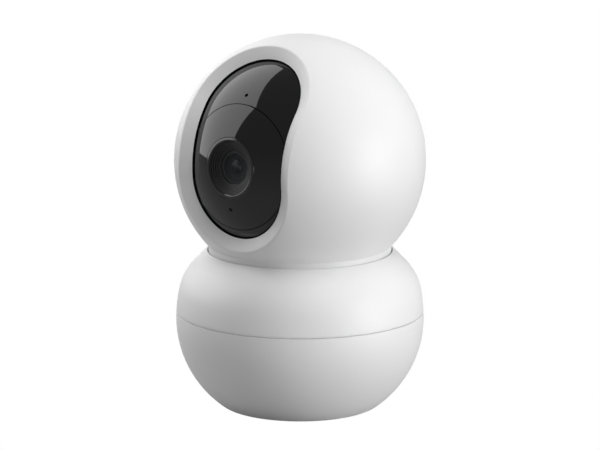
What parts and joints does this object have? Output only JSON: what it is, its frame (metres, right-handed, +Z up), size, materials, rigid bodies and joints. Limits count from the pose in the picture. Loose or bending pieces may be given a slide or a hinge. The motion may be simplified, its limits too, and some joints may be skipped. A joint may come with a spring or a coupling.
{
  "type": "security camera",
  "caption": "Indoor pan-and-tilt security camera: a ball-shaped head with a slot for a tilting black lens ball, on a rounded weighted base.",
  "frame": {"origin": "centre of the rubber foot's underside, on the surface that the camera stands on", "axes": "+Z up along the pan axis; the lens looks along -Y at rest; +X is to the right as seen from behind the camera"},
  "size_m": [0.078, 0.0777, 0.117],
  "materials": {
    "white_abs": "fine matte moulded",
    "black_gloss": "polished",
    "black_abs": "matte moulded",
    "white_pom": "natural acetal, machined look",
    "grey_abs": "matte moulded",
    "rubber": "matte moulded",
    "steel": "zinc plated",
    "brass": "turned brass",
    "board_green": "solder mask",
    "component_black": "moulded epoxy",
    "lens_glass": "coated optical glass",
    "clear_acrylic": "polished"
  },
  "bodies": {
    "base": {"base_lower_shell": "white_abs", "base_upper_shell": "white_abs", "foot_ring": "rubber", "ballast_plate": "steel", "tripod_insert": "brass", "power_board": "board_green", "usb_socket": "steel", "reset_switch": "component_black", "speaker": "component_black", "speaker_gasket": "rubber", "base_deck": "grey_abs", "deck_screws": "steel", "shell_screws": "steel", "pan_bush": "white_pom", "pan_motor": "steel", "pan_motor_screws": "steel"},
    "button": {"reset_button": "grey_abs"},
    "pan_pinion": {"pan_pinion": "white_pom"},
    "head": {"pan_cup": "white_abs", "pan_gear": "white_pom", "hub_retainer": "grey_abs", "retainer_screws": "steel", "pan_cable": "component_black", "yoke": "grey_abs", "yoke_screws": "steel", "tilt_bush_left": "white_pom", "tilt_bush_right": "white_pom", "tilt_motor": "steel", "head_front_shell": "white_abs", "head_rear_shell": "white_abs", "wifi_antenna": "board_green"},
    "tilt_pinion": {"tilt_pinion": "white_pom"},
    "ball": {"ball_front_cover": "black_gloss", "ball_rear_cover": "black_abs", "ball_frame": "black_abs", "frame_screws": "steel", "tilt_axle_left": "steel", "tilt_axle_right": "steel", "tilt_gear": "white_pom", "lens_face": "black_gloss", "lens_ring": "black_abs", "front_glass": "lens_glass", "lens_barrel": "black_abs", "lens_element_front": "lens_glass", "lens_element_rear": "lens_glass", "lens_holder": "component_black", "image_sensor": "component_black", "sensor_board": "board_green", "main_board": "board_green", "shield_can": "steel", "ir_led_board": "board_green", "ir_leds": "component_black", "microphone": "steel", "light_pipe": "clear_acrylic", "status_led": "clear_acrylic", "microsd_socket": "steel"}
  },
  "joints": [
    {"name": "pan", "type": "hinge", "parent": "base", "child": "head", "pos_m": [0, 0, 0.05], "axis": [0, 0, 1], "range_deg": [-175, 175]},
    {"name": "tilt", "type": "hinge", "parent": "head", "child": "ball", "pos_m": [0, 0, 0.078], "axis": [-1, 0, 0], "range_deg": [-22, 48]},
    {"name": "pan_pinion_spin", "type": "hinge", "parent": "base", "child": "pan_pinion", "pos_m": [0, -0.02, 0.033], "axis": [0, 0, 1], "range_deg": [-702, 702]},
    {"name": "tilt_pinion_spin", "type": "hinge", "parent": "head", "child": "tilt_pinion", "pos_m": [0.021, 0.013, 0.078], "axis": [-1, 0, 0], "range_deg": [-162, 75.33]},
    {"name": "reset_press", "type": "slide", "parent": "base", "child": "button", "axis": [0, -1, 0], "range_m": [0, 0.0005], "stiffness_N_per_m": 1500, "springref_m": -0.0003}
  ],
  "couplings": [
    {"joint": "pan_pinion_spin", "follows": "pan", "ratio": -4},
    {"joint": "tilt_pinion_spin", "follows": "tilt", "ratio": -3.3333}
  ]
}
